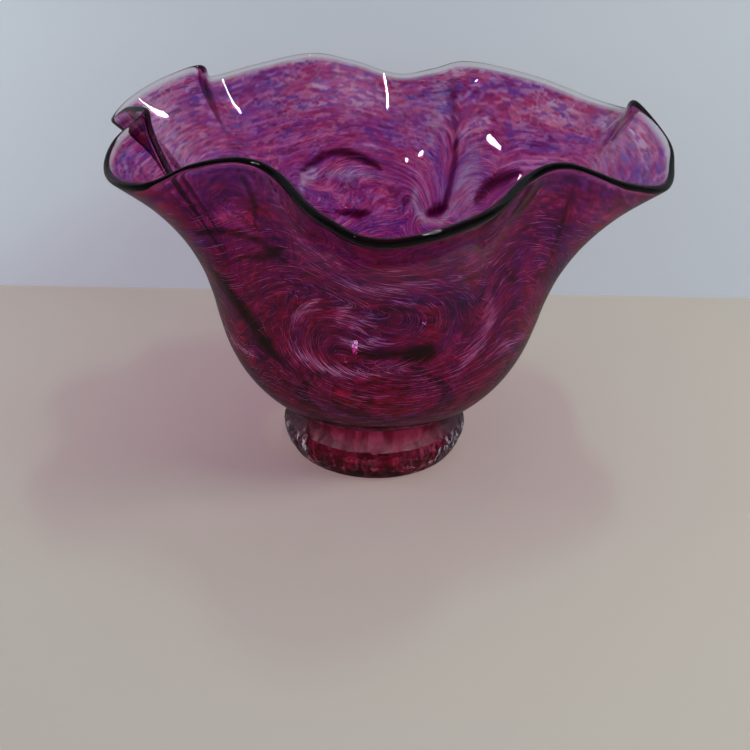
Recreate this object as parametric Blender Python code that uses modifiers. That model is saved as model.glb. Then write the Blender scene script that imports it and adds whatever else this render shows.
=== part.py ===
"""Hand-blown footed bowl with a ruffled rim.

The wall is three layers of glass, as it is blown: a clear lining, a layer of coloured frit, and a clear
casing. A clear bead rounds off the rim. The bowl stands on a clear applied foot with a ruby heart.

Axes: +Z up, -Y to the front. The origin is the middle of the foot's ground underside.
"""
from math import cos, pi, sin

import bmesh
import bpy
import numpy as np
from mathutils import Vector

MM = 0.001
GAP = 0.3 * MM

# The rim, ruffle by ruffle, from the front lobe round past the left, back and right sides.
# Each row is (azimuth from the front in degrees, reach from the foot's axis, height), in mm.
RIM = (
    (1, 131, 154), (-9, 119, 157), (-22, 97, 163.5), (-33, 94.5, 166.5), (-45, 101, 161.5),
    (-53, 115, 153), (-70, 120, 149.5), (-83, 116, 156), (-89, 104, 166),
    (-102, 121, 161), (-107, 135, 153), (-116, 139, 158), (-123, 133, 165), (-130, 121, 171),
    (-138, 136, 161), (-148, 132, 165), (-162, 124, 171), (-173, 134, 165),
    (-184, 133, 158), (-194, 121, 164), (-204, 117, 170), (-222, 125, 165),
    (-235, 137, 157), (-251, 127, 161), (-263, 118, 170), (-275, 127, 159), (-282, 128, 153),
    (-293, 127, 150.5), (-304, 118, 155.5), (-318, 106, 166.5), (-329, 105.5, 164.5), (-343, 122, 158.5),
)
# Pinches in the rim that fade out below it: azimuth, mm inward, mm upward, half width in degrees and
# power of the fade, which is quicker the higher it is.
PINCHES = ((-90, 15, 8, 9, 6), (-130, 13, 7, 6, 12), (-198, 9, 4, 12, 12), (-263, 7, 5, 8, 12))
# The plain bowl under the ruffles: the middle of the wall as (radius, height) in mm, bottom to rim.
BOWL = (
    (0, 24), (20, 24.3), (35, 26.3), (46, 31.5), (56, 39), (65, 50), (71.5, 63), (75.3, 76),
    (78.2, 90), (83, 107), (91.5, 126), (103.5, 144), (119, 160.5),
)
RUFFLE_START = 70 * MM      # the folds fade out at this height
RUFFLE_POWER = 1.7          # how late the folds open towards the rim
LEAN = 0.02                 # sideways lean of the bowl on its foot, per unit of height

# Glass layers, as thicknesses from the inside out.
LINING = 1.0 * MM
FRIT = 0.8 * MM
CASING = 1.2 * MM
WALL = LINING + FRIT + CASING + 2 * GAP

LIP_RADIUS = WALL / 2
LIP_SEAT = LIP_RADIUS + GAP  # how far the layers stop below the middle of the bead

# The foot: outer outline below its joint with the bowl down to the ground face, (radius, height) in mm.
JOINT_RADIUS = 36.5 * MM
FOOT_OUTLINE = ((40, 22.3), (43.8, 18.6), (46.3, 14.3), (46.2, 10), (44.4, 4.8), (42.3, 1.3), (40.5, 0))
HEART_RADIUS = 23 * MM
HEART_CORNER = 3.5 * MM
HEART_BOTTOM = 1.2 * MM

COLUMNS_PER_ROW = 2          # mesh columns for each row of RIM
BEAD_COLUMNS_PER_ROW = 3
BEAD_RESOLUTION = 2
TURN_STEPS = 56
JOINT_STEPS = 3              # points along the bowl's underside over the foot
HEART_STEPS = 4              # and over the heart
CORNER_STEPS = 4
MERGE_DISTANCE = 0.01 * MM

# Finishes
GLASS_IOR = 1.5
CLEARNESS = 0.9
POLISH = 0.03
CLEAR_COLOUR = (0.86, 0.88, 0.88)
LIP_COLOUR = (0.62, 0.64, 0.65)
FOOT_COLOUR = (0.84, 0.85, 0.84)
FRIT_COLOUR = (0.36, 0.07, 0.22)
FRIT_ROUGHNESS = 0.12
RUBY_COLOUR = (0.30, 0.01, 0.04)
RUBY_ROUGHNESS = 0.05


def metres(rows, first_length=0):
    """Turn a table in mm into an array in metres, leaving the columns before first_length alone."""
    table = np.array(rows, float)
    table[:, first_length:] *= MM
    return table


def smooth_step(before, start, end, after, u):
    """Catmull-Rom point between start and end."""
    leave = (end - before) / 2
    arrive = (after - start) / 2
    u2, u3 = u * u, u * u * u
    return ((2 * u3 - 3 * u2 + 1) * start + (u3 - 2 * u2 + u) * leave
            + (3 * u2 - 2 * u3) * end + (u3 - u2) * arrive)


def rim_columns(per_row):
    """Azimuth, reach and height of the rim at each mesh column, on a closed smooth curve."""
    rows = metres(RIM, first_length=1)
    turn = np.array((360, 0, 0))
    closed = np.vstack((rows[-1:] + turn, rows, rows[:2] - turn))
    return np.array([smooth_step(*closed[i:i + 4], step / per_row)
                     for i in range(len(rows)) for step in range(per_row)])


def pinch_amounts(azimuth, rise, ruffle):
    """How far each point below a pinch stays out and down while the rim is pulled in and up."""
    outward = downward = 0
    for centre, pull, lift, width, power in PINCHES:
        away = (azimuth - centre + 180) % 360 - 180
        bump = np.exp(-(away / width) ** 2)
        outward = outward + (ruffle - rise ** power) * pull * MM * bump
        downward = downward + (ruffle - rise ** power) * lift * MM * bump
    return outward, downward


def wall_middle(per_row=COLUMNS_PER_ROW):
    """Grid of points in the middle of the wall: rows run from the bowl's bottom to its rim."""
    columns = rim_columns(per_row)
    azimuth = np.radians(columns[:, 0])
    bowl = metres(BOWL)
    rim_radius, rim_height = bowl[-1]
    rise = np.clip((bowl[:, 1:] - RUFFLE_START) / (rim_height - RUFFLE_START), 0, None)
    ruffle = rise ** RUFFLE_POWER
    outward, downward = pinch_amounts(columns[:, 0], rise, ruffle)
    reach = bowl[:, :1] + ruffle * (columns[:, 1] - rim_radius) + outward
    height = bowl[:, 1:] + ruffle * (columns[:, 2] - rim_height) - downward
    shift = LEAN * (bowl[:, 1:] - bowl[0, 1]) * (1 - ruffle)
    return np.stack((reach * np.sin(azimuth) + shift, -reach * np.cos(azimuth), height), axis=2)


def outward_normals(grid):
    """Unit normals of the wall, pointing away from the bowl's inside."""
    up_wall = np.gradient(grid, axis=0)
    round_wall = np.roll(grid, 1, axis=1) - np.roll(grid, -1, axis=1)
    normals = np.cross(round_wall, up_wall)
    normals[0] = (0, 0, -1)
    return normals / np.linalg.norm(normals, axis=2, keepdims=True)


def shorten_at_rim(grid, length):
    """Pull the grid's last row back down the wall by length."""
    short = grid.copy()
    down = grid[-2] - grid[-1]
    short[-1] += down / np.linalg.norm(down, axis=1, keepdims=True) * length
    return short


def wall_surface(distance):
    """The wall's surface at a distance outside its middle, ending below the lip bead."""
    grid = wall_middle()
    return shorten_at_rim(grid + outward_normals(grid) * distance, LIP_SEAT)


def material(name, colour, roughness, transmission=0.0):
    made = bpy.data.materials.new(name)
    made.use_nodes = True
    shader = made.node_tree.nodes["Principled BSDF"]
    shader.inputs["Base Color"].default_value = (*colour, 1)
    shader.inputs["Roughness"].default_value = roughness
    shader.inputs["Metallic"].default_value = 0
    shader.inputs["IOR"].default_value = GLASS_IOR
    shader.inputs["Transmission Weight"].default_value = transmission
    return made


def add_object(name, mesh, collection, finish):
    made = bpy.data.objects.new(name, mesh)
    collection.objects.link(made)
    made.data.materials.append(finish)
    return made


def bowl_sheet(name, grid):
    """An open bowl-shaped sheet over a grid, closed at the bottom by a fan, facing outwards."""
    mesh = bpy.data.meshes.new(name)
    shape = bmesh.new()
    pole = shape.verts.new(Vector(grid[0].mean(axis=0)))
    rings = [[shape.verts.new(point) for point in row] for row in grid[1:]]
    count = len(rings[0])
    for i in range(count):
        following = (i + 1) % count
        shape.faces.new((pole, rings[0][i], rings[0][following]))
        for low, high in zip(rings, rings[1:]):
            shape.faces.new((low[following], low[i], high[i], high[following]))
    bmesh.ops.recalc_face_normals(shape, faces=shape.faces)
    if shape.faces[0].normal.z > 0:
        bmesh.ops.reverse_faces(shape, faces=shape.faces)
    shape.to_mesh(mesh)
    shape.free()
    mesh.shade_smooth()
    return mesh


def glass_layer(name, outside, thickness, collection, finish):
    """One layer of the wall, its outer face at a distance outside the wall's middle."""
    layer = add_object(name, bowl_sheet(name, wall_surface(outside)), collection, finish)
    shell = layer.modifiers.new("thickness", "SOLIDIFY")
    shell.thickness = thickness
    shell.offset = -1
    return layer


def lip_bead(collection, finish):
    """Round bead of clear glass that runs along the rim."""
    curve = bpy.data.curves.new("lip_bead", "CURVE")
    curve.dimensions = "3D"
    curve.bevel_depth = LIP_RADIUS
    curve.bevel_resolution = BEAD_RESOLUTION
    rim = wall_middle(per_row=BEAD_COLUMNS_PER_ROW)[-1]
    spline = curve.splines.new("POLY")
    spline.points.add(len(rim) - 1)
    for point, place in zip(spline.points, rim):
        point.co = (*place, 1)
    spline.use_cyclic_u = True
    return add_object("lip_bead", curve, collection, finish)


def under_bowl(radius):
    """Height of the bowl's underside at a radius, less the gap to what it rests on."""
    below = WALL / 2 + GAP
    bowl = metres(BOWL)
    slope = np.gradient(bowl[:, 1], bowl[:, 0])
    lean = 1 / np.sqrt(1 + slope ** 2)
    radii = bowl[:, 0] + below * slope * lean
    heights = bowl[:, 1] - below * lean
    slack = LEAN * radius
    return float(np.interp(radius, radii, heights)) - slack


def turned(name, profile, collection, finish):
    """A solid turned from a profile that runs down its outer side, from axis to axis."""
    mesh = bpy.data.meshes.new(name)
    points = [(radius, 0, height) for radius, height in profile]
    mesh.from_pydata(points, [(i, i + 1) for i in range(len(points) - 1)], [])
    solid = add_object(name, mesh, collection, finish)
    screw = solid.modifiers.new("turn", "SCREW")
    screw.axis = "Z"
    screw.steps = TURN_STEPS
    screw.render_steps = TURN_STEPS
    screw.use_merge_vertices = True
    screw.merge_threshold = MERGE_DISTANCE
    screw.use_smooth_shade = True
    return solid


def cup_points(first, last, steps):
    """Points along the bowl's underside between two radii."""
    return [(radius, under_bowl(radius)) for radius in np.linspace(first, last, steps)]


def rounded_floor(radius, corner, height):
    """Wall, rounded corner and flat floor of a round pocket or puddle, down and in to the axis."""
    turns = [pi / 2 * i / CORNER_STEPS for i in range(CORNER_STEPS + 1)]
    arc = [(radius - corner * (1 - cos(turn)), height + corner * (1 - sin(turn))) for turn in turns]
    return arc + [(0, height)]


def clear_foot(collection, finish):
    """Cushion foot: outer outline, ground underside, and the pocket that holds the ruby heart."""
    pocket = rounded_floor(HEART_RADIUS + GAP, HEART_CORNER + GAP, HEART_BOTTOM - GAP)
    cup = cup_points(HEART_RADIUS + GAP, JOINT_RADIUS, JOINT_STEPS)
    outline = [tuple(point) for point in metres(FOOT_OUTLINE)]
    return turned("foot", pocket[::-1] + cup + outline + [(0, 0)], collection, finish)


def foot_heart(collection, finish):
    """Ruby glass under the bowl, seen through the clear foot."""
    floor = rounded_floor(HEART_RADIUS, HEART_CORNER, HEART_BOTTOM)
    return turned("foot_heart", cup_points(0, HEART_RADIUS, HEART_STEPS) + floor, collection, finish)


def build():
    for old in list(bpy.data.objects):
        bpy.data.objects.remove(old, do_unlink=True)
    parts = bpy.data.collections.new("ruffled_glass_bowl")
    bpy.context.scene.collection.children.link(parts)

    casing_glass = material("casing_glass", CLEAR_COLOUR, POLISH, CLEARNESS)
    glass_layer("clear_casing", WALL / 2, CASING, parts, casing_glass)
    frit_glass = material("frit_glass", FRIT_COLOUR, FRIT_ROUGHNESS)
    glass_layer("frit_layer", WALL / 2 - CASING - GAP, FRIT, parts, frit_glass)
    lining_glass = material("lining_glass", CLEAR_COLOUR, POLISH, CLEARNESS)
    glass_layer("clear_lining", LINING - WALL / 2, LINING, parts, lining_glass)
    lip_bead(parts, material("lip_glass", LIP_COLOUR, POLISH, CLEARNESS))
    clear_foot(parts, material("foot_glass", FOOT_COLOUR, POLISH, CLEARNESS))
    foot_heart(parts, material("ruby_glass", RUBY_COLOUR, RUBY_ROUGHNESS))


build()
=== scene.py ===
"""Hand-blown art-glass bowl with a ruffled rim: its glass and its studio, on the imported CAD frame."""
from math import cos, pi, radians, sin

import bpy
import numpy as np
from mathutils import Matrix, Vector
from mathutils import noise as relief_noise


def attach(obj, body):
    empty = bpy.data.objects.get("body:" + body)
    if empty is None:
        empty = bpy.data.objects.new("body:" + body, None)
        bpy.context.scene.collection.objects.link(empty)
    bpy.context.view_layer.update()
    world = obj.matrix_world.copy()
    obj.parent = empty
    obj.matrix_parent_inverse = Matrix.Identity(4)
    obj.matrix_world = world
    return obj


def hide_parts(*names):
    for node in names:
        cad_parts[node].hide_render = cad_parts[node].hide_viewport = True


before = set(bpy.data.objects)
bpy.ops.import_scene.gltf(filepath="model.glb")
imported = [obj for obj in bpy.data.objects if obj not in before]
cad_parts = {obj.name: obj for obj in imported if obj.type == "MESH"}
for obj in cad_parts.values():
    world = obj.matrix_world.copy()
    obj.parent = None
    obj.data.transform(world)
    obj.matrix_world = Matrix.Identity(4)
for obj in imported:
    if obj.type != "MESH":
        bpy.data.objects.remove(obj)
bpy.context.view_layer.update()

MM = 0.001

# ---------------------------------------------------------------------------------------------
# The bowl's form, as in the CAD: ruffle rows (azimuth from the front in degrees, reach, height)
# and the middle of the plain wall (radius, height), in mm.
RIM = (
    (1, 131, 154), (-9, 119, 157), (-22, 97, 163.5), (-33, 94.5, 166.5), (-45, 101, 161.5),
    (-53, 115, 153), (-70, 120, 149.5), (-83, 116, 156), (-89, 104, 166),
    (-102, 121, 161), (-107, 135, 153), (-116, 139, 158), (-123, 133, 165), (-130, 121, 171),
    (-138, 136, 161), (-148, 132, 165), (-162, 124, 171), (-173, 134, 165),
    (-184, 133, 158), (-194, 121, 164), (-204, 117, 170), (-222, 125, 165),
    (-235, 137, 157), (-251, 127, 161), (-263, 118, 170), (-275, 127, 159), (-282, 128, 153),
    (-293, 127, 150.5), (-304, 118, 155.5), (-318, 106, 166.5), (-329, 105.5, 164.5), (-343, 122, 158.5),
)
# Pinches in the rim that fade out below it:
# (azimuth, inward, upward, half width in degrees, power of the fade).
PINCHES = ((-90, 15, 8, 9, 6), (-130, 13, 7, 6, 12), (-198, 9, 4, 12, 12), (-263, 7, 5, 8, 12))
BOWL = (
    (0, 24), (20, 24.3), (35, 26.3), (46, 31.5), (56, 39), (65, 50), (71.5, 63), (75.3, 76),
    (78.2, 90), (83, 107), (91.5, 126), (103.5, 144), (119, 160.5),
)
RUFFLE_START = 70 * MM       # the folds fade out at this height
RUFFLE_POWER = 1.7           # how late they open towards the rim
LEAN = 0.02                  # sideways lean of the bowl on its foot, per unit of height
WALL = 3.6 * MM
UNEVEN_SIZE = 34 * MM        # the hand's slow unevenness in the wall: its length, depth and pattern
UNEVEN_DEPTH = 0.08 * MM
UNEVEN_SEED = 3
FILM_INSIDE = -0.7 * MM      # the colour layer's faces, from the middle of the wall
FILM_OUTSIDE = 0.1 * MM
# The colour ends this far below the rim's middle: (azimuth, mm). It thins out over COLOUR_FADE times that.
COLOUR_STOPS = (
    (0, 0.9), (-60, 0.6), (-75, 0.3), (-125, 0.3), (-145, 1.3), (-235, 1.4), (-255, 0.3), (-290, 0.3),
    (-305, 0.6), (-360, 0.9),
)
COLOUR_FADE = 1.6
CASING_PART = 0.5            # share of the colour that the outer face carries
FLOW_RADIUS = 78 * MM        # the swirl's own coordinates are rolled on a cylinder of this radius
CHIP_SCALE = 330
JOINT_RADIUS = 36 * MM       # the foot is fused to the bowl inside this

THREAD_COUNT = 5200
THREAD_SEED = 11
THREAD_RINGS = 8
THREAD_SIDES = 3
THREAD_STRIDE = 1.1 * MM     # distance between a thread's rings
THREAD_RADIUS = (0.05, 0.15)  # thinnest and thickest, in mm
THREAD_TILT = 0.14           # usual slope of a thread across the swirl's own lines
THREAD_DEPTH = (0.4, 1.4)    # from the middle of the wall outwards, in mm
# How crowded the threads are: heights along the wall in metres, and the crowd there.
CROWD_HEIGHTS = (0.03, 0.06, 0.15, 0.175, 0.18)
CROWD = (0, 1, 0.8, 0.2, 0)

# Side of the foot from the joint down to the ground ring, in mm (radius, height).
FOOT_OUTLINE = (
    (36.5, 24.6), (40, 22.3), (43.8, 18.6), (46.3, 14.3), (46.2, 10), (44.4, 4.8), (42.3, 1.3), (40.5, 0),
)
FOOT_STEPS = 288
CUP_STEPS = 12
SIDE_STEPS = 10
FOOT_SMOOTH_RADIUS = 38 * MM  # no wrinkles inside this
FOOT_WRINKLE = 1.0 * MM
WRINKLE_WIDTH = 5 * MM
WRINKLE_HEIGHT = 13 * MM
PIT_SIZE = 2.6 * MM
SHOULDER_HEIGHT = 17 * MM    # the duller shoulder starts here
HEART_RADIUS = 23 * MM
HEART_CORNER = 3.5 * MM
HEART_BOTTOM = 1.2 * MM
HEART_GAP = 0.4 * MM         # between the heart's top and the bowl
HEART_STEPS = 96
CORNER_STEPS = 6

# Tints of lamp light that crosses each glass.
CLEAR_TINT = (0.95, 0.95, 0.95)
WALL_TINT = (0.62, 0.22, 0.45)
FOOT_TINT = (0.85, 0.7, 0.72)
RUBY_TINT = (0.5, 0.05, 0.1)
GLASS_IOR = 1.5
THREAD_IOR = 1.3             # seen from inside the wall's own glass
FILM_IOR = 1.0               # light crosses the colour layer and the ruby unbent
STAGE_IN_MIRROR = 0.3        # brightness of the stage in what the glass mirrors
ROOM_LIGHT = 0.57
ROOM_IN_MIRROR = 0.06
ROOM_COLOUR = (0.86, 0.93, 1.0, 1)

LENS = 48                    # mm, on a sensor 36 mm wide
SENSOR = 36
CAMERA_PLACE = (0, -0.45, 0.27)
CAMERA_PITCH = radians(27.5)
CAMERA_ROLL = radians(1.0)

COLUMNS_PER_ROW = 12
ROWS_PER_STEP = 10
LIP_STEPS = 8


def metres(rows, first_length=0):
    table = np.array(rows, float)
    table[:, first_length:] *= MM
    return table


def smooth_step(before, start, end, after, u):
    """Catmull-Rom point between start and end."""
    leave = (end - before) / 2
    arrive = (after - start) / 2
    u2, u3 = u * u, u * u * u
    return ((2 * u3 - 3 * u2 + 1) * start + (u3 - 2 * u2 + u) * leave
            + (3 * u2 - 2 * u3) * end + (u3 - u2) * arrive)


def rim_columns(per_row):
    """Azimuth, reach and height of the rim at each mesh column, on a closed smooth curve."""
    rows = metres(RIM, first_length=1)
    turn = np.array((360, 0, 0))
    closed = np.vstack((rows[-1:] + turn, rows, rows[:2] - turn))
    return np.array([smooth_step(*closed[i:i + 4], step / per_row)
                     for i in range(len(rows)) for step in range(per_row)])


def plain_rows(per_step):
    """Radius and height of the plain wall at each mesh row, bottom to rim."""
    rows = metres(BOWL)
    held = np.vstack((rows[:1] * (-1, 1), rows, 2 * rows[-1:] - rows[-2:-1]))
    smooth = [smooth_step(*held[i:i + 4], step / per_step)
              for i in range(len(rows) - 1) for step in range(per_step)]
    return np.array(smooth + [rows[-1]])


def turn_difference(a, b):
    return (a - b + 180) % 360 - 180


def pinch_amounts(azimuth, rise, ruffle):
    """How far each point below a pinch stays out and down while the rim is pulled in and up."""
    outward = downward = 0
    for centre, pull, lift, width, power in PINCHES:
        bump = np.exp(-(turn_difference(azimuth, centre) / width) ** 2)
        outward = outward + (ruffle - rise ** power) * pull * MM * bump
        downward = downward + (ruffle - rise ** power) * lift * MM * bump
    return outward, downward


def wall_middle():
    """Grid of points in the middle of the wall: rows run from the bowl's bottom to its rim."""
    columns = rim_columns(COLUMNS_PER_ROW)
    azimuth = np.radians(columns[:, 0])
    bowl = plain_rows(ROWS_PER_STEP)
    rim_radius, rim_height = bowl[-1]
    rise = np.clip((bowl[:, 1:] - RUFFLE_START) / (rim_height - RUFFLE_START), 0, None)
    ruffle = rise ** RUFFLE_POWER
    outward, downward = pinch_amounts(columns[:, 0], rise, ruffle)
    reach = bowl[:, :1] + ruffle * (columns[:, 1] - rim_radius) + outward
    height = bowl[:, 1:] + ruffle * (columns[:, 2] - rim_height) - downward
    shift = LEAN * (bowl[:, 1:] - bowl[0, 1]) * (1 - ruffle)
    return np.stack((reach * np.sin(azimuth) + shift, -reach * np.cos(azimuth), height), axis=2)


def outward_normals(grid):
    up_wall = np.gradient(grid, axis=0)
    round_wall = np.roll(grid, 1, axis=1) - np.roll(grid, -1, axis=1)
    normals = np.cross(round_wall, up_wall)
    normals[0] = (0, 0, -1)
    return normals / np.linalg.norm(normals, axis=2, keepdims=True)


# ---------------------------------------------------------------------------------------------
# The hand marks, in degrees from the front and mm along the wall from the middle of its bottom.
# Twists: (azimuth, height, half width, half height, turn in radians).
TWISTS = (
    (-4, 124, 44, 30, 3.8), (-166, 135, 30, 15, 1.3), (-200, 124, 13, 12, -3.4), (-152, 142, 9, 8, 2.0),
    (-86, 118, 30, 26, -3.0), (-112, 128, 24, 22, 3.0), (-262, 122, 36, 30, -4.2), (-290, 98, 26, 20, 3.0),
    (-226, 112, 26, 22, 3.0), (-134, 106, 26, 20, -3.0),
)
# Drags: (azimuth, lower end, upper end, half width, pull in mm, down if positive).
DRAGS = (
    (-204, 122, 190, 12, 34), (-222, 130, 185, 9, 14), (-288, 120, 180, 12, 20), (-95, 118, 178, 12, 20),
)
# Strokes: (strength, ((azimuth, height, half width), ...)).
DARK_STROKES = (
    (1.0, ((-150, 143, 1.0), (-155, 146, 2.2), (-160, 150, 2.4), (-167, 151, 2.8), (-173, 149, 3.2),
           (-178, 146, 2.4), (-181, 143, 0.8))),
    (1.0, ((-162, 122, 1.2), (-167, 121, 2.6), (-172, 120, 3.4), (-176, 121, 1.6))),
    (0.45, ((-176, 121, 1.6), (-184, 124, 1.6), (-189, 127, 3.4))),
    (1.0, ((-200, 123, 3.4), (-203, 125, 5.0), (-206, 127, 2.5))),
    (0.9, ((-205, 126, 2.6), (-206, 138, 1.9), (-206, 150, 2.0), (-205, 160, 2.2))),
    (0.55, ((-205, 160, 2.6), (-203, 170, 4.0), (-201, 182, 5.0), (-200, 192, 4.0))),
    (0.95, ((-218, 134, 3.0), (-221, 142, 5.0), (-225, 148, 5.0), (-229, 153, 2.0))),
    (0.6, ((-184, 134, 4.0), (-190, 129, 5.0))),
    (1.0, ((-14, 115, 0.8), (-9, 114, 1.8), (0, 113, 2.6), (7, 114, 2.4))),
    (1.3, ((10, 113, 5.0), (14, 113, 5.5), (16, 113, 3.0))),
    (0.7, ((0, 143, 2.0), (5, 142, 3.6), (9, 140, 1.5))),
    (0.8, ((-34, 192, 2.6), (-34, 178, 2.4), (-36, 166, 1.2))),
    (0.5, ((-48, 188, 1.2), (-45, 170, 1.6), (-41, 164, 0.8))),
    (0.9, ((-52, 167, 2.6), (-44, 162, 2.4), (-38, 159, 2.4), (-32, 154, 2.0), (-26, 149, 0.8))),
    (1.0, ((-60, 142, 2.0), (-54, 131, 4.5), (-48, 121, 5.5), (-42, 111, 5.0), (-37, 104, 3.5),
           (-34, 100, 1.0))),
    (0.9, ((-258, 154, 1.0), (-264, 146, 2.6), (-272, 134, 3.6), (-282, 124, 2.6), (-292, 119, 1.0))),
    (0.9, ((-84, 140, 1.0), (-90, 132, 3.5), (-96, 122, 5.0), (-100, 114, 2.0))),
    (0.9, ((-116, 112, 1.0), (-124, 109, 2.6), (-132, 108, 3.4), (-142, 111, 1.2))),
    (0.8, ((-235, 108, 1.2), (-243, 103, 3.2), (-252, 104, 1.5))),
)
# Pale strokes of paler glass; the ones round the twist at the front, between about -30 and 40 degrees, are
# painted highlights, glints of light drawn as pale marks.
PALE_STROKES_AND_PAINTED_GLINTS = (
    (0.45, ((-193, 134, 1.4), (-193, 127, 2.0), (-198, 119, 2.2), (-205, 119, 2.0), (-209, 128, 2.0),
           (-211, 148, 2.4))),
    (0.22, ((-214, 120, 4.0), (-215, 138, 6.0), (-212, 156, 4.0))),
    (0.8, ((-153, 139, 1.3), (-155, 140, 1.3), (-156, 142, 1.3), (-155, 144, 1.3), (-152, 143, 1.3),
           (-152, 140, 1.3), (-150, 135, 1.0))),
    (0.35, ((-112, 172, 13.0), (-118, 198, 13.0))),
    (0.25, ((-262, 180, 13.0), (-270, 198, 13.0))),
    (0.4, ((-160, 141, 1.0), (-168, 139, 2.5), (-177, 140, 1.0))),
    (0.3, ((-196, 188, 4.0), (-197, 176, 4.0), (-196, 160, 2.0))),
    (1.0, ((-28, 108, 1.2), (-22, 104, 2.4), (-14, 101, 2.4), (-4, 101, 2.0), (8, 105, 1.2))),
    (0.9, ((-28, 118, 0.8), (-26, 124, 2.2), (-22, 131, 1.6), (-18, 137, 0.8))),
    (1.0, ((-13, 121, 0.8), (-10, 118, 1.8), (-5, 119, 1.6), (0, 126, 0.8))),
    (1.0, ((-9, 125, 0.8), (-6, 131, 2.2), (-2, 138, 0.8))),
    (0.9, ((-12, 128, 0.8), (-11, 135, 1.8), (-7, 142, 0.8))),
    (0.9, ((6, 143, 0.8), (9, 147, 1.6), (8, 151, 0.8))),
    (0.7, ((26, 98, 1.0), (35, 110, 2.4), (38, 124, 2.4), (33, 139, 1.0))),
    (0.7, ((-8, 153, 1.0), (6, 157, 2.4), (20, 154, 1.6))),
    (0.7, ((-72, 106, 1.0), (-60, 97, 2.6), (-46, 98, 1.0))),
    (0.7, ((-262, 100, 1.0), (-252, 104, 2.6), (-246, 118, 1.0))),
    (0.7, ((-112, 140, 1.0), (-120, 132, 2.6), (-124, 120, 1.0))),
    (0.7, ((-318, 112, 1.0), (-310, 104, 2.4), (-298, 104, 1.0))),
)


def arc_lengths(bowl):
    """Distance along the plain wall from the middle of the bottom, for each row."""
    steps = np.linalg.norm(np.diff(bowl, axis=0), axis=1)
    return np.concatenate(((0,), np.cumsum(steps)))


def wall_places():
    """Azimuth in degrees and height along the wall, in metres, for each point of the grid."""
    columns = rim_columns(COLUMNS_PER_ROW)
    bowl = plain_rows(ROWS_PER_STEP)
    along = arc_lengths(bowl)
    azimuth, height = np.meshgrid(columns[:, 0], along)
    return azimuth, height, bowl[:, 0]


def flow_field():
    """The coloured glass's own coordinates, drawn and twisted by each hand mark."""
    azimuth, height, radius = wall_places()
    scale = np.maximum(radius, 20 * MM)[:, None] * pi / 180
    side, rise = np.zeros_like(azimuth), np.zeros_like(height)
    for centre, low, high, width, pull in DRAGS:
        x = np.abs(turn_difference(azimuth, centre)) * scale / (width * MM)
        up = np.clip((height / MM - low) / (high - low), -1, 1)
        taper = np.where(up > 0, 1 - up, np.clip(1 + up * (high - low) / 6, 0, 1))
        rise += pull * MM * np.exp(-x) * taper
    for centre, up, width, tall, turn in TWISTS:
        x = (turn_difference(azimuth, centre) * scale + side) / (width * MM)
        y = (height - up * MM + rise) / (tall * MM)
        angle = turn * np.exp(-x * x - y * y)
        side += (x * (np.cos(angle) - 1) - y * np.sin(angle)) * width * MM
        rise += (x * np.sin(angle) + y * (np.cos(angle) - 1)) * tall * MM
    turned = np.radians(azimuth + side / scale)
    return np.stack((FLOW_RADIUS * np.sin(turned), -FLOW_RADIUS * np.cos(turned), height + rise), axis=2)


def colour_stop(azimuth):
    """How far below the rim's middle the colour ends."""
    places, stops = np.array(COLOUR_STOPS[::-1]).T
    return np.interp(-(-azimuth % 360), places, stops) * MM


def edge_field():
    """How far the colour has thinned out on its way to the clear lip."""
    azimuth, height, _ = wall_places()
    return np.clip(1 - (height.max() - height) / (COLOUR_FADE * colour_stop(azimuth)), 0, 1) ** 1.5


def stroke_field(strokes):
    """How strong a set of strokes is at each point."""
    azimuth, height, radius = wall_places()
    scale = np.maximum(radius, 40 * MM)[:, None] * pi / 180
    field = np.zeros_like(azimuth)
    for strength, points in strokes:
        for (a0, h0, w0), (a1, h1, w1) in zip(points, points[1:]):
            x, y = turn_difference(azimuth, a0) * scale, height - h0 * MM
            dx, dy = turn_difference(a1, a0) * scale, (h1 - h0) * MM
            along = np.clip((x * dx + y * dy) / (dx * dx + dy * dy), 0, 1)
            off = np.hypot(x - along * dx, y - along * dy)
            width = (w0 + (w1 - w0) * along) * MM
            field = np.maximum(field, strength * np.exp(-(off / width) ** 2))
    return field


def slopes(grid):
    """Change of a grid's values from row to row and from column to column."""
    by_row = np.gradient(grid, axis=0)
    by_column = (np.roll(grid, -1, axis=1) - np.roll(grid, 1, axis=1)) / 2
    return by_row, by_column


def read_grid(grid, row, column):
    """Values of a grid between its points; the columns run round the bowl."""
    low, left = np.floor(row).astype(int), np.floor(column).astype(int)
    up, across = (row - low)[:, None], (column - left)[:, None]
    last, columns = len(grid) - 1, grid.shape[1]
    near, far = left % columns, (left + 1) % columns
    under, over = np.clip(low, 0, last), np.clip(low + 1, 0, last)
    lower = grid[under, near] * (1 - across) + grid[under, far] * across
    upper = grid[over, near] * (1 - across) + grid[over, far] * across
    return lower * (1 - up) + upper * up


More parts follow.
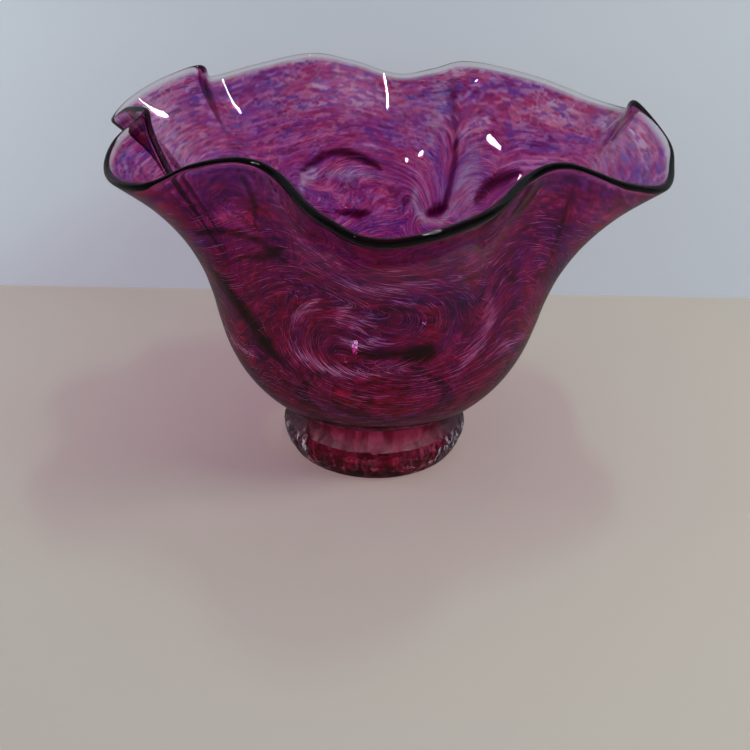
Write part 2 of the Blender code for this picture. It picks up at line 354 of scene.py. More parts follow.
def thread_paths(middle, normals, flow, crowd, pale):
    """Centre lines of short threads that lie along the swirl, with the wall's normals and paleness there."""
    chance = np.random.default_rng(THREAD_SEED)
    wall_by_row, wall_by_column = slopes(middle)
    cell = np.linalg.norm(np.cross(wall_by_row, wall_by_column), axis=2)
    across_by_row, across_by_column = (
        (flow[..., 0] * change[..., 1] - flow[..., 1] * change[..., 0]) / np.hypot(flow[..., 0], flow[..., 1])
        for change in slopes(flow))
    drawn_by_row, drawn_by_column = slopes(flow[..., 2])
    known = np.concatenate((middle, normals, wall_by_row, wall_by_column, np.stack(
        (drawn_by_row, drawn_by_column, across_by_row, across_by_column, pale), axis=2)), axis=2)
    weight = (cell * crowd).ravel()
    start = chance.choice(weight.size, THREAD_COUNT, p=weight / weight.sum())
    row, column = (part + chance.random(THREAD_COUNT) for part in np.divmod(start, middle.shape[1]))
    reach = THREAD_STRIDE * chance.uniform(0.4, 1.6, THREAD_COUNT)
    tilt = chance.normal(0, THREAD_TILT, THREAD_COUNT)
    paleness = read_grid(known, row, column)[:, -1]
    centres, sides = [], []
    for _ in range(THREAD_RINGS):
        here = read_grid(known, row, column)
        place, side, by_row, by_column = (here[:, first:first + 3] for first in (0, 3, 6, 9))
        centres.append(place)
        sides.append(side)
        row_drawn, column_drawn, row_across, column_across = here[:, 12:16].T
        row_step, column_step = -column_drawn - tilt * column_across, row_drawn + tilt * row_across
        moved = np.linalg.norm(by_row * row_step[:, None] + by_column * column_step[:, None], axis=1)
        row = row + row_step * reach / moved
        column = column + column_step * reach / moved
    return np.array(centres), np.array(sides), paleness, chance


def shorten_columns(grid, amounts):
    """The grid with the top of each column cut back by a length along the wall."""
    steps = np.linalg.norm(np.diff(grid[..., :3], axis=0), axis=2)
    lengths = np.concatenate((np.zeros((1, grid.shape[1])), np.cumsum(steps, axis=0)))
    shorter = np.empty_like(grid)
    for column in range(grid.shape[1]):
        known = lengths[:, column]
        wanted = known * (1 - amounts[column] / known[-1])
        for axis in range(grid.shape[2]):
            shorter[:, column, axis] = np.interp(wanted, known, grid[:, column, axis])
    return shorter


# ---------------------------------------------------------------------------------------------
# Meshes
def grid_faces(rows, columns):
    """Quads between neighbouring rings of points, facing outwards."""
    row, column = np.meshgrid(np.arange(rows - 1), np.arange(columns), indexing="ij")
    following = (column + 1) % columns
    a, b = row * columns + following, row * columns + column
    return np.stack((a, b, b + columns, a + columns), axis=2).reshape(-1, 4)


def new_mesh(name, points, faces, materials, slots=None, fields=None):
    mesh = bpy.data.meshes.new(name)
    mesh.from_pydata(points.tolist(), [], faces)
    for finish in materials:
        mesh.materials.append(finish)
    if slots is not None:
        mesh.polygons.foreach_set("material_index", slots)
    for label, values in (fields or {}).items():
        kind = "FLOAT_VECTOR" if values.ndim == 2 else "FLOAT"
        layer = mesh.attributes.new(label, kind, "POINT")
        layer.data.foreach_set("vector" if values.ndim == 2 else "value", values.astype("f").ravel())
    mesh.validate()
    mesh.shade_smooth()
    made = bpy.data.objects.new(name, mesh)
    bpy.context.scene.collection.objects.link(made)
    return made


def shell(name, inside, outside, cap, materials, fields):
    """A closed bowl-shaped shell: outer grid up, cap rings over the edge, inner grid down."""
    columns = outside.shape[1]
    pole_out, pole_in = outside[0].mean(axis=0), inside[0].mean(axis=0)
    rings = np.concatenate((outside[1:], cap, inside[:0:-1]))
    points = np.concatenate((rings.reshape(-1, 3), (pole_out, pole_in)))
    faces = grid_faces(len(rings), columns).tolist()
    wall_count = len(faces)
    last = (len(rings) - 1) * columns
    bottom, top = len(points) - 2, len(points) - 1
    for i in range(columns):
        following = (i + 1) % columns
        faces.append((bottom, i, following))
        faces.append((top, last + following, last + i))
    ring_slot = np.zeros(len(rings) - 1, int)
    ring_slot[len(outside) - 2:len(outside) - 1 + len(cap)] = 2
    ring_slot[len(outside) - 1 + len(cap):] = 1
    slots = np.concatenate((np.repeat(ring_slot, columns), np.tile((0, 1), columns)))
    made_fields = {}
    for label, field in fields.items():
        over = np.repeat(field[-1:], len(cap), axis=0)
        spread = np.concatenate((field[1:], over, field[:0:-1]))
        flat = spread.reshape(-1, *field.shape[2:])
        poles = np.stack((field[0].mean(axis=0),) * 2)
        made_fields[label] = np.concatenate((flat, poles))
    return new_mesh(name, points, faces, materials, slots, made_fields), slots, wall_count, rings


def lip_rings(middle, normals, up, radius):
    """Half circles over the rim, from the outer face to the inner one."""
    angles = np.linspace(0, pi, LIP_STEPS + 2)[1:-1]
    return np.array([middle + radius * (cos(a) * normals + sin(a) * up) for a in angles])


# ---------------------------------------------------------------------------------------------
# Materials
def node_material(name):
    made = bpy.data.materials.new(name)
    made.use_nodes = True
    made.node_tree.nodes.clear()
    return made, made.node_tree


def add(tree, kind, links=None, **values):
    """Add a node; values set its properties, links feed its inputs by name or index."""
    node = tree.nodes.new(kind)
    for key, value in values.items():
        setattr(node, key, value)
    for key, value in (links or {}).items():
        socket = node.inputs[key]
        if isinstance(value, bpy.types.NodeSocket):
            tree.links.new(value, socket)
        else:
            socket.default_value = value
    return node


def ramp(tree, factor, stops):
    node = add(tree, "ShaderNodeValToRGB", {"Fac": factor})
    elements = node.color_ramp.elements
    while len(elements) < len(stops):
        elements.new(0.5)
    for element, (place, colour) in zip(elements, stops):
        element.position = place
        element.color = (*colour, 1)
    return node.outputs["Color"]


def grey(value):
    return (value, value, value)


def lamp_share(tree):
    """1 for rays from lamps and from matt surfaces, which pass straight through the glass."""
    path = add(tree, "ShaderNodeLightPath")
    return add(tree, "ShaderNodeMath", {0: path.outputs["Is Shadow Ray"], 1: path.outputs["Is Diffuse Ray"]},
               operation="MAXIMUM").outputs[0]


def glass_output(tree, shader, tint):
    """Surface output of a glass: bent light for the eye, straight tinted light for lamps."""
    straight = add(tree, "ShaderNodeBsdfTransparent", {"Color": (*tint, 1)}).outputs[0]
    blend = add(tree, "ShaderNodeMixShader", {0: lamp_share(tree), 1: shader, 2: straight})
    add(tree, "ShaderNodeOutputMaterial", {"Surface": blend.outputs[0]})


def glass(tree, colour, ior=GLASS_IOR, transmission=1.0, roughness=0.0):
    links = {"Base Color": colour, "Roughness": roughness, "IOR": ior, "Transmission Weight": transmission}
    return add(tree, "ShaderNodeBsdfPrincipled", links).outputs[0]


def clear_glass(name):
    made, tree = node_material(name)
    glass_output(tree, glass(tree, (1, 1, 1, 1)), CLEAR_TINT)
    return made


def mixed(tree, factor, first, second, blend="MIX"):
    return add(tree, "ShaderNodeMix", {"Factor": factor, 6: first, 7: second}, data_type="RGBA",
               blend_type=blend).outputs[2]


def stretched(tree, vector, scale, shift=(0, 0, 0)):
    links = {"Vector": vector, "Location": shift, "Scale": scale}
    return add(tree, "ShaderNodeMapping", links).outputs[0]


def noise(tree, vector, scale, detail=3, roughness=0.6):
    links = {"Vector": vector, "Scale": scale, "Detail": detail, "Roughness": roughness}
    return add(tree, "ShaderNodeTexNoise", links).outputs[0]


def object_place(tree):
    return add(tree, "ShaderNodeTexCoord").outputs["Object"]


def attribute(tree, name, output="Fac"):
    return add(tree, "ShaderNodeAttribute", attribute_name=name).outputs[output]


def pushed(tree, vector, scale, distance):
    """The vector moved about by noise."""
    wobble = add(tree, "ShaderNodeTexNoise", {"Vector": vector, "Scale": scale, "Detail": 3})
    centred = add(tree, "ShaderNodeVectorMath", {0: wobble.outputs["Color"], 1: (0.5, 0.5, 0.5)},
                  operation="SUBTRACT").outputs[0]
    return add(tree, "ShaderNodeVectorMath", {0: centred, 1: (distance,) * 3, 2: vector},
               operation="MULTIPLY_ADD").outputs[0]


def swirl_colour(tree):
    """Light that one crossing of the wall lets through: melted chips drawn out into streaks, with painted
    shade low on the wall and painted highlights at the front twist.
    """
    flow, dark, pale = attribute(tree, "flow", "Vector"), attribute(tree, "dark"), attribute(tree, "pale")
    height = add(tree, "ShaderNodeSeparateXYZ", {"Vector": flow}).outputs["Z"]

    # chips, as near the rim
    chip_place = pushed(tree, stretched(tree, flow, (1, 1, 1.8)), 240, 0.0045)
    chip_place = pushed(tree, chip_place, 700, 0.0022)
    chips = add(tree, "ShaderNodeTexVoronoi", {"Vector": chip_place, "Scale": CHIP_SCALE, "Smoothness": 0.2},
                feature="SMOOTH_F1")
    pick = add(tree, "ShaderNodeSeparateColor", {"Color": chips.outputs["Color"]}).outputs[0]
    chip_colour = ramp(tree, pick, (
        (0.00, (0.16, 0.012, 0.11)), (0.14, (0.38, 0.04, 0.24)), (0.28, (0.54, 0.035, 0.18)),
        (0.40, (0.58, 0.11, 0.38)), (0.52, (0.26, 0.05, 0.38)), (0.62, (0.17, 0.08, 0.40)),
        (0.72, (0.50, 0.09, 0.33)), (0.86, (0.76, 0.20, 0.38)), (1.00, (0.74, 0.42, 0.72))))
    edges = add(tree, "ShaderNodeTexVoronoi", {"Vector": chip_place, "Scale": CHIP_SCALE},
                feature="DISTANCE_TO_EDGE")
    lace = ramp(tree, edges.outputs["Distance"], ((0.0, grey(1)), (0.11, grey(0))))
    lace_share = ramp(tree, noise(tree, flow, 70), ((0.44, grey(0)), (0.60, grey(0.85))))
    lace = mixed(tree, 1.0, lace, lace_share, "MULTIPLY")
    chip_colour = mixed(tree, lace, chip_colour, (0.88, 0.58, 0.82, 1))

    # streaks, as on the belly
    streak_place = pushed(tree, stretched(tree, flow, (1, 1, 9)), 45, 0.02)
    streak_pick = noise(tree, streak_place, 62, 5, 0.62)
    streak_colour = ramp(tree, streak_pick, (
        (0.34, (0.09, 0.004, 0.06)), (0.41, (0.32, 0.03, 0.24)), (0.45, (0.18, 0.05, 0.36)),
        (0.49, (0.56, 0.05, 0.26)), (0.53, (0.40, 0.03, 0.13)), (0.58, (0.72, 0.12, 0.34)),
        (0.66, (0.86, 0.46, 0.76))))
    threads = noise(tree, stretched(tree, flow, (1, 1, 14), (0.3, 0.1, 0.7)), 75, 4, 0.6)
    thread_line = ramp(tree, threads, ((0.478, grey(0)), (0.50, grey(0.9)), (0.522, grey(0))))
    streak_colour = mixed(tree, thread_line, streak_colour, (0.92, 0.60, 0.84, 1))

    # one over the other by height, in broad clouds, and with painted shade: darker low on the wall
    share = ramp(tree, height, ((0.100, grey(0.92)), (0.165, grey(0.42)), (0.190, grey(0.25))))
    colour = mixed(tree, share, chip_colour, streak_colour)
    clouds = ramp(tree, noise(tree, stretched(tree, flow, (1, 1, 2.2)), 30, 3), (
        (0.32, (0.58, 0.66, 1.00)), (0.44, (0.92, 0.88, 1.10)), (0.54, (1.12, 0.80, 0.80)),
        (0.66, (1.30, 1.70, 1.35))))
    colour = mixed(tree, 1.0, colour, clouds, "MULTIPLY")
    # painted shade: the colour is made darker towards the bottom of the wall and lighter towards the rim
    depth = ramp(tree, height, ((0.035, (0.84, 0.30, 0.62)), (0.080, (0.86, 0.40, 0.70)),
                                (0.150, (0.90, 0.60, 0.92)), (0.190, (0.98, 1.0, 1.0))))
    colour = mixed(tree, 1.0, colour, depth, "MULTIPLY")

    # pale and dark strokes with ragged edges, and the clear lip; the pale strokes at the front twist are
    # painted highlights
    ragged = noise(tree, stretched(tree, flow, (1, 1, 4)), 120, 3)
    pale_lines = ramp(tree, noise(tree, stretched(tree, flow, (1, 1, 5)), 130, 2), (
        (0.40, grey(0.2)), (0.52, grey(1.0))))
    pale_share = mixed(tree, 1.0, pale, pale_lines, "MULTIPLY")
    colour = mixed(tree, pale_share, colour, (0.90, 0.66, 0.92, 1))
    uneven = add(tree, "ShaderNodeMath", {0: ragged, 1: 0.9, 2: -0.45}, operation="MULTIPLY_ADD").outputs[0]
    drawn = add(tree, "ShaderNodeMath", {0: dark, 1: 1.0, 2: uneven}, operation="MULTIPLY_ADD").outputs[0]
    drawn = add(tree, "ShaderNodeMath", {0: drawn, 1: dark}, operation="MULTIPLY").outputs[0]
    stroke = ramp(tree, drawn, ((0.08, grey(1)), (0.40, (0.42, 0.12, 0.34)), (0.85, (0.12, 0.006, 0.07))))
    colour = mixed(tree, 1.0, colour, stroke, "MULTIPLY")
    return mixed(tree, attribute(tree, "edge"), colour, (0.98, 0.93, 0.98, 1))


def part_of_swirl(tree, power):
    return add(tree, "ShaderNodeGamma", {"Color": swirl_colour(tree), "Gamma": power}).outputs[0]


def cased_glass():
    """Outer face of the wall, which takes part of the swirl's colour."""
    made, tree = node_material("casing_glass")
    glass_output(tree, glass(tree, part_of_swirl(tree, 2 * CASING_PART)), WALL_TINT)
    return made


def frit_colour():
    """The colour layer's own part of the swirl's colour, taken at each of its two faces."""
    made, tree = node_material("frit_colour")
    film = glass(tree, part_of_swirl(tree, 1 - CASING_PART), ior=FILM_IOR)
    add(tree, "ShaderNodeOutputMaterial", {"Surface": film})
    return made


def thread_glass():
    """Milky pink and lilac glass of the threads, whitened in the pale strokes as painted highlights and
    painted near black in reflections as shade.
    """
    made, tree = node_material("thread_glass")
    colour = ramp(tree, noise(tree, object_place(tree), 90, 4), (
        (0.38, (0.34, 0.22, 0.62)), (0.45, (0.62, 0.42, 0.62)), (0.52, (0.50, 0.20, 0.36)),
        (0.58, (0.66, 0.50, 0.62)), (0.68, (0.95, 0.86, 0.95))))
    # painted highlights: threads turn white in the pale strokes, the front twist's glints among them
    colour = mixed(tree, attribute(tree, "pale"), colour, (1.0, 0.98, 1.0, 1))
    # painted shade: threads seen by way of any reflection, as inside the wall, are coloured near black,
    # standing in for threads lost in the wall's depth
    mirrors = add(tree, "ShaderNodeLightPath").outputs["Glossy Depth"]
    mirrored = add(tree, "ShaderNodeMath", {0: mirrors, 1: 1.0}, operation="MINIMUM").outputs[0]
    colour = mixed(tree, mirrored, colour, (0.01, 0.004, 0.008, 1))
    shader = glass(tree, colour, ior=THREAD_IOR, transmission=0.0, roughness=0.4)
    add(tree, "ShaderNodeOutputMaterial", {"Surface": shader})
    return made


def edge_on(tree):
    """1 where thick glass is seen edge on, where its colour is painted dark as shade, 0 where it is faced."""
    facing = add(tree, "ShaderNodeLayerWeight", {"Blend": 0.5}).outputs["Facing"]
    return ramp(tree, facing, ((0.11, grey(0)), (0.31, grey(1))))


def foot_glass():
    """Clear glass with the wrinkles of a rough mould round its side; its dark and pale crackle is painted
    light and shade for what the wrinkles refract, near black where it is seen edge on.
    """
    made, tree = node_material("foot_glass")
    # painted light and shade: a dark and pale crackle in the clear glass's colour stands in for the light and
    # dark that the wrinkles refract; edge on it is painted nearly black
    painted_crackle_shade = noise(tree, stretched(tree, object_place(tree), (1, 1, 0.3)), 330, 3, 0.7)
    faced_painted_crackle = ramp(tree, painted_crackle_shade, (
        (0.38, (0.16, 0.09, 0.11)), (0.47, (0.66, 0.54, 0.57)), (0.56, (0.96, 0.88, 0.90))))
    edge_on_painted_crackle = ramp(tree, painted_crackle_shade, (
        (0.45, (0.02, 0.01, 0.015)), (0.53, (0.12, 0.07, 0.09)), (0.61, (0.95, 0.92, 0.92))))
    colour = mixed(tree, edge_on(tree), faced_painted_crackle, edge_on_painted_crackle)
    glass_output(tree, glass(tree, colour), FOOT_TINT)
    return made


def shoulder_glass():
    """Duller glass on the shoulder of the foot, under the bowl; its pink is painted reflection of the bowl's
    colour, its top painted darker crimson as the bowl's shade, and its edges painted near black.
    """
    made, tree = node_material("shoulder_glass")
    place = object_place(tree)
    height = add(tree, "ShaderNodeSeparateXYZ", {"Vector": place}).outputs["Z"]
    # painted shade and reflection: the shoulder turns darker crimson towards its top, for the bowl's shade
    # and colour over it
    painted_bowl_shade = ramp(tree, height, (
        (0.017, (1.0, 1.0, 1.0)), (0.0205, (0.8, 0.66, 0.7)), (0.024, (0.4, 0.1, 0.16))))
    colour = ramp(tree, noise(tree, stretched(tree, place, (1, 1, 0.4)), 120, 3), (
        (0.40, (0.50, 0.26, 0.32)), (0.60, (0.88, 0.66, 0.70))))
    colour = mixed(tree, 1.0, colour, painted_bowl_shade, "MULTIPLY")
    # painted shade: near black where the shoulder is seen edge on
    colour = mixed(tree, edge_on(tree), colour, (0.10, 0.03, 0.05, 1))
    glass_output(tree, glass(tree, colour, transmission=0.8, roughness=0.15), FOOT_TINT)
    return made


def straight_through(name):
    """Fused joint between bowl and foot: light crosses it unbent."""
    made, tree = node_material(name)
    film = add(tree, "ShaderNodeBsdfTransparent", {"Color": (1, 1, 1, 1)})
    add(tree, "ShaderNodeOutputMaterial", {"Surface": film.outputs[0]})
    return made


def ruby_glass():
    """Deep ruby with upright streaks, a little milky."""
    made, tree = node_material("ruby_glass")
    streaks = noise(tree, stretched(tree, object_place(tree), (1, 1, 0.08)), 150, 3)
    colour = ramp(tree, streaks, (
        (0.40, (0.26, 0.005, 0.045)), (0.5, (0.58, 0.018, 0.13)), (0.60, (0.98, 0.22, 0.44))))
    glass_output(tree, glass(tree, colour, ior=FILM_IOR, transmission=0.55), RUBY_TINT)
    return made


# ---------------------------------------------------------------------------------------------
# Pieces
def hand_relief(points):
    """Slow in and out of glass worked by hand, for each point."""
    flat = points.reshape(-1, 3) / UNEVEN_SIZE
    values = [relief_noise.noise(Vector(place) + Vector((UNEVEN_SEED, 0, 0))) for place in flat]
    return UNEVEN_DEPTH * np.array(values).reshape(points.shape[:-1])[..., None]


def make_wall():
    """The wall and its lip as one body of clear glass, with the coloured layer and threads inside it."""
    middle = wall_middle()
    normals = outward_normals(middle)
    middle = middle + normals * hand_relief(middle)
    up = np.cross(normals[-1], np.roll(middle[-1], 1, axis=0) - np.roll(middle[-1], -1, axis=0))
    up /= np.linalg.norm(up, axis=1, keepdims=True)
    up *= np.sign(up[:, 2:])
    fields = {"flow": flow_field(), "dark": stroke_field(DARK_STROKES), "pale": stroke_field(PALE_STROKES_AND_PAINTED_GLINTS),
              "edge": edge_field()}
    make_clear_wall(middle, normals, up, fields)
    make_colour_layer(middle, normals, up, fields)
    make_threads(middle, normals, fields["flow"], fields["dark"], fields["pale"])
    return middle, normals


def make_clear_wall(middle, normals, up, fields):
    half = WALL / 2
    cap = lip_rings(middle[-1], normals[-1], up, half)
    finishes = [cased_glass(), clear_glass("lining_glass"), clear_glass("lip_glass"),
                straight_through("fused_joint")]
    fused = len(finishes) - 1
    made, slots, wall_count, rings = shell("bowl_glass", middle - normals * half, middle + normals * half,
                                           cap, finishes, fields)
    # the outer side is fused to the foot inside the joint; the faces at the two poles take turns, outer first
    centre = np.hypot(rings[:, :, 0], rings[:, :, 1]).mean(axis=1)
    lower = len(middle) // 2
    joined_rings = np.zeros(len(rings) - 1, bool)
    joined_rings[:lower] = centre[1:lower + 1] < JOINT_RADIUS
    slots[:wall_count][np.repeat(joined_rings, middle.shape[1])] = fused
    slots[wall_count::2] = fused
    made.data.polygons.foreach_set("material_index", slots)
    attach(made, "root")
    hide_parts("clear_casing", "clear_lining", "lip_bead")


def make_colour_layer(middle, normals, up, fields):
    scalars = [fields[label][..., None] for label in ("dark", "pale", "edge")]
    places = np.concatenate((middle, normals, fields["flow"], *scalars), axis=2)
    places = shorten_columns(places, colour_stop(rim_columns(COLUMNS_PER_ROW)[:, 0]))
    short_middle, short_normals, flow = (places[..., first:first + 3] for first in (0, 3, 6))
    dark, pale, edge = (places[..., index] for index in (9, 10, 11))
    inside = short_middle + short_normals * FILM_INSIDE
    outside = short_middle + short_normals * FILM_OUTSIDE
    cap = lip_rings((inside[-1] + outside[-1]) / 2, short_normals[-1], up, (FILM_OUTSIDE - FILM_INSIDE) / 2)
    colour = frit_colour()
    film, *_ = shell("frit_swirl", inside, outside, cap, [colour, colour, colour],
                     {"flow": flow, "dark": dark, "pale": pale, "edge": edge})
    film.visible_shadow = False
    film.visible_diffuse = False
    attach(film, "root")
    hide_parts("frit_layer")


def make_threads(middle, normals, flow, dark, pale):
    """Fine pale threads of glass caught in the wall, which catch the light on its dark side."""
    height = wall_places()[1]
    # more of them in the pale strokes, where the front twist's painted highlights are, and none in the
    # darkest
    crowd = np.interp(height, CROWD_HEIGHTS, CROWD) * (1 + 5 * pale)
    crowd *= np.clip(1 - 1.4 * dark, 0, 1)
    centres, across, paleness, chance = thread_paths(middle, normals, flow, crowd, pale)
    depth = chance.uniform(*THREAD_DEPTH, THREAD_COUNT) * MM
    radius = chance.uniform(*THREAD_RADIUS, THREAD_COUNT) * MM
    centres = centres + across * depth[None, :, None]
    ahead = np.gradient(centres, axis=0)
    ahead /= np.linalg.norm(ahead, axis=2, keepdims=True)
    side = np.cross(ahead, across)
    # painted highlights: threads are thicker in the pale strokes, which carry the front twist's glints
    radius *= 1 + 0.8 * paleness
    taper = np.sin(pi * np.arange(THREAD_RINGS) / (THREAD_RINGS - 1))[:, None] * radius
    turns = pi / 2 + np.arange(THREAD_SIDES) * 2 * pi / THREAD_SIDES
    spokes = [taper[..., None] * (cos(turn) * side + sin(turn) * across) for turn in turns]
    rings = np.stack([centres + spoke for spoke in spokes], axis=2)[1:-1]
    points = np.concatenate((rings.transpose(1, 0, 2, 3).reshape(THREAD_COUNT, -1, 3),
                             centres[0][:, None], centres[-1][:, None]), axis=1)
    each = points.shape[1]
    start, end, last_ring = each - 2, each - 1, each - 2 - THREAD_SIDES
    pairs = [(i, (i + 1) % THREAD_SIDES) for i in range(THREAD_SIDES)]
    tube = [(ring + i, ring + j, ring + THREAD_SIDES + j, ring + THREAD_SIDES + i)
            for ring in range(0, last_ring, THREAD_SIDES) for i, j in pairs]
    tips = [(start, j, i) for i, j in pairs] + [(end, last_ring + i, last_ring + j) for i, j in pairs]
    faces = [tuple(thread * each + corner for corner in face)
             for thread in range(THREAD_COUNT) for face in tube + tips]
    threads = new_mesh("frit_threads", points.reshape(-1, 3), faces, [thread_glass()],
                       fields={"pale": np.repeat(paleness, each)})
    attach(threads, "root")
    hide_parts("frit_layer")


def spin(name, profile, steps, materials, slots):
    """Closed solid turned from a profile that runs from axis to axis, outer side top to bottom."""
    angles = np.arange(steps) * 2 * pi / steps
    inner = np.array(profile[1:-1])
    rings = np.stack((inner[:, :1] * np.cos(angles), inner[:, :1] * np.sin(angles),
                      np.repeat(inner[:, 1:], steps, axis=1)), axis=2)
    points = np.concatenate((rings.reshape(-1, 3), ((0, 0, profile[0][1]), (0, 0, profile[-1][1]))))
    faces, ring_slots = [], []
    for r in range(len(inner) - 1):
        for i in range(steps):
            j = (i + 1) % steps
            faces.append((r * steps + i, (r + 1) * steps + i, (r + 1) * steps + j, r * steps + j))
            ring_slots.append(slots[r + 1])
    top, bottom = len(points) - 2, len(points) - 1
    last = (len(inner) - 1) * steps
    for i in range(steps):
        j = (i + 1) % steps
        faces.append((top, i, j))
        ring_slots.append(slots[0])
        faces.append((bottom, last + j, last + i))
        ring_slots.append(slots[-1])
    return new_mesh(name, points, faces, materials, ring_slots)


def wrinkle_foot(foot):
    """The mould's wrinkles round the side of the foot; its flat base and fused top stay as they are."""
    for vertex in foot.data.vertices:
        place = vertex.co
        reach = np.hypot(place.x, place.y)
        if reach < FOOT_SMOOTH_RADIUS:
            continue
        upright = Vector((place.x / WRINKLE_WIDTH, place.y / WRINKLE_WIDTH, place.z / WRINKLE_HEIGHT))
        pitted = place / PIT_SIZE
        depth = 0.75 * relief_noise.noise(upright) + 0.3 * relief_noise.noise(pitted)
        fade = min(1, (reach - FOOT_SMOOTH_RADIUS) / (3 * MM)) * min(1, place.z / (4 * MM))
        inward = 1 - (abs(depth) + 0.1) * fade * FOOT_WRINKLE / reach
        vertex.co = (place.x * inward, place.y * inward, place.z)


def round_off(points, steps):
    """Smooth a profile with Catmull-Rom steps between its points."""
    held = np.array((points[0],) + tuple(points) + (points[-1],), float)
    smooth = [smooth_step(*held[i:i + 4], s / steps) for i in range(len(points) - 1) for s in range(steps)]
    return [tuple(p) for p in smooth] + [tuple(points[-1])]


def make_foot(middle, normals):
    """The clear foot, cupped to the bowl's underside, and the ruby heart inside it."""
    under = middle + normals * WALL / 2
    radii = np.hypot(under[:, :, 0], under[:, :, 1]).mean(axis=1)
    heights = under[:, :, 2].mean(axis=1)

    def bowl_height(radius):
        return float(np.interp(radius, radii, heights))

    cup = [(radius, bowl_height(radius)) for radius in np.linspace(0, JOINT_RADIUS, CUP_STEPS)]
    outline = [tuple(point) for point in metres(FOOT_OUTLINE)]
    # the side starts just past the joint, a little into the bowl's underside
    start = JOINT_RADIUS + 0.4 * MM
    outline[0] = (start, bowl_height(start) + 0.2 * MM)
    side = round_off(outline[:-1], SIDE_STEPS)
    profile = cup + side + [outline[-1], (0, 0)]
    clear, joint, shoulder, ground = range(4)
    slots = [joint if i < len(cup) else shoulder if height > SHOULDER_HEIGHT else clear
             for i, (radius, height) in enumerate(profile)]
    slots[-1] = ground
    finishes = [foot_glass(), straight_through("foot_joint"), shoulder_glass(), clear_glass("ground_glass")]
    foot = spin("foot_glass", profile, FOOT_STEPS, finishes, slots)
    wrinkle_foot(foot)
    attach(foot, "root")
    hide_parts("foot")
    make_heart(cup)


def make_heart(cup):
    top = [(radius, height - HEART_GAP) for radius, height in cup if radius < HEART_RADIUS]
    turns = [pi / 2 * i / CORNER_STEPS for i in range(CORNER_STEPS + 1)]
    corner = [(HEART_RADIUS - HEART_CORNER * (1 - cos(turn)), HEART_BOTTOM + HEART_CORNER * (1 - sin(turn)))
              for turn in turns]
    profile = top + corner + [(0, HEART_BOTTOM)]
    heart = spin("ruby_heart", profile, HEART_STEPS, [ruby_glass()], [0] * len(profile))
    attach(heart, "root")
    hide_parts("foot_heart")


# ---------------------------------------------------------------------------------------------
# Studio
def matt(name, colour, one_sided=False):
    """Matt stage surface, dimmer in what the glass mirrors, so that the glass's own colour shows."""
    made, tree = node_material(name)
    path = add(tree, "ShaderNodeLightPath").outputs
    mirrored = add(tree, "ShaderNodeMath", {0: path["Is Glossy Ray"], 1: path["Is Reflection Ray"]},
                   operation="MULTIPLY").outputs[0]
    dimmed = tuple(STAGE_IN_MIRROR * part for part in colour)
    seen = mixed(tree, mirrored, (*colour, 1), (*dimmed, 1))
    shader = add(tree, "ShaderNodeBsdfPrincipled", {"Base Color": seen, "Roughness": 0.9,
                                                    "Specular IOR Level": 0.1})
    surface = shader.outputs[0]
    if one_sided:
        side = add(tree, "ShaderNodeNewGeometry").outputs["Backfacing"]
        gone = add(tree, "ShaderNodeBsdfTransparent").outputs[0]
        surface = add(tree, "ShaderNodeMixShader", {0: side, 1: surface, 2: gone}).outputs[0]
    add(tree, "ShaderNodeOutputMaterial", {"Surface": surface})
    return made


def plane(name, corners, finish):
    mesh = bpy.data.meshes.new(name)
    mesh.from_pydata(corners, [], [(0, 1, 2, 3)])
    mesh.materials.append(finish)
    made = bpy.data.objects.new(name, mesh)
    bpy.context.scene.collection.objects.link(made)
    return made


def area_light(name, place, target, size, power, colour=(1, 1, 1), shape="RECTANGLE", size_y=None):
    lamp = bpy.data.lights.new(name, "AREA")
    lamp.shape = shape
    lamp.size = size
    if size_y:
        lamp.size_y = size_y
    lamp.energy = power
    lamp.color = colour
    made = bpy.data.objects.new(name, lamp)
    made.location = place
    made.rotation_euler = (Vector(target) - Vector(place)).to_track_quat("-Z", "Y").to_euler()
    bpy.context.scene.collection.objects.link(made)
    return made


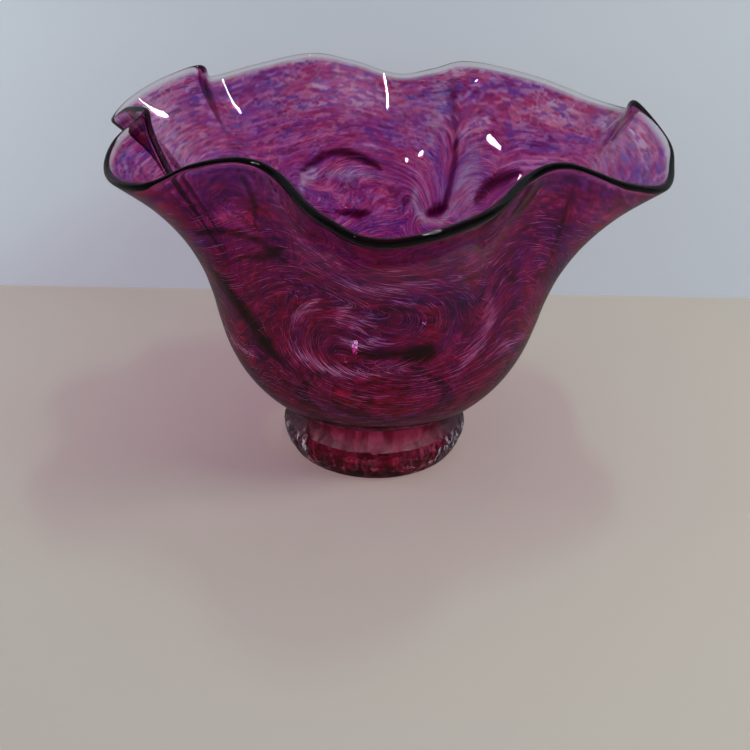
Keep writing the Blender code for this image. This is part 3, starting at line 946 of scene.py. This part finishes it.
def make_studio():
    """Pale floor and wall, a soft key from the right, a wash on the wall and two lamps for the glints."""
    back, under, far, top = 0.195, -0.3 * MM, 12, 3
    floor_colour = (0.50, 0.46, 0.40)
    plane("floor", ((-far, -far, under), (far, -far, under), (far, back, under), (-far, back, under)),
          matt("floor_pale", floor_colour))
    plane("floor_behind", ((-far, back, under), (far, back, under), (far, far, under), (-far, far, under)),
          matt("floor_pale_behind", floor_colour))
    plane("wall", ((-far, back, under), (far, back, under), (far, back, top), (-far, back, top)),
          matt("wall_pale", (0.66, 0.73, 0.80), one_sided=True))
    make_world()
    key = area_light("key", (0.85, -0.40, 0.95), (0, 0, 0.05), 0.5, 6.6, (1, 0.97, 0.93))
    wash = area_light("wall_wash", (-0.42, -0.04, 0.30), (-0.38, 0.195, 0.0), 0.12, 0.35)
    for soft in (key, wash):
        soft.visible_camera = False
        soft.visible_glossy = False
        soft.visible_transmission = False
    area_light("ceiling_strip", (0.185, 0.12, 1.1), (0.185, 0.12, 0), 0.05, 2.0, size_y=0.22)
    area_light("window_spot", (-0.62, -0.36, 0.92), (0.04, 0.08, 0.13), 0.06, 0.30, shape="DISK")


def make_world():
    """Pale room light; what the glass mirrors of it is dim, as in a room with one bright wall."""
    world = bpy.data.worlds.new("studio")
    bpy.context.scene.world = world
    world.use_nodes = True
    tree = world.node_tree
    tree.nodes.clear()
    path = add(tree, "ShaderNodeLightPath")
    pale = add(tree, "ShaderNodeBackground", {"Color": ROOM_COLOUR, "Strength": ROOM_LIGHT})
    dim = add(tree, "ShaderNodeBackground", {"Color": ROOM_COLOUR, "Strength": ROOM_IN_MIRROR})
    both = add(tree, "ShaderNodeMixShader", {0: path.outputs["Is Glossy Ray"], 1: pale.outputs[0],
                                             2: dim.outputs[0]})
    add(tree, "ShaderNodeOutputWorld", {"Surface": both.outputs[0]})


def make_camera():
    lens = bpy.data.cameras.new("photo_view")
    lens.sensor_width = SENSOR
    lens.lens = LENS
    camera = bpy.data.objects.new("photo_view", lens)
    camera.matrix_world = (Matrix.Translation(CAMERA_PLACE) @ Matrix.Rotation(pi / 2 - CAMERA_PITCH, 4, "X")
                           @ Matrix.Rotation(CAMERA_ROLL, 4, "Z"))
    bpy.context.scene.collection.objects.link(camera)
    bpy.context.scene.camera = camera


scene = bpy.context.scene
scene.view_settings.view_transform = "Standard"
scene.cycles.transparent_max_bounces = 48
scene.cycles.max_bounces = 24
scene.cycles.transmission_bounces = 24
scene.cycles.glossy_bounces = 10
scene.cycles.caustics_reflective = False
scene.cycles.caustics_refractive = False

make_camera()
make_studio()
wall_grid, wall_normals = make_wall()
make_foot(wall_grid, wall_normals)
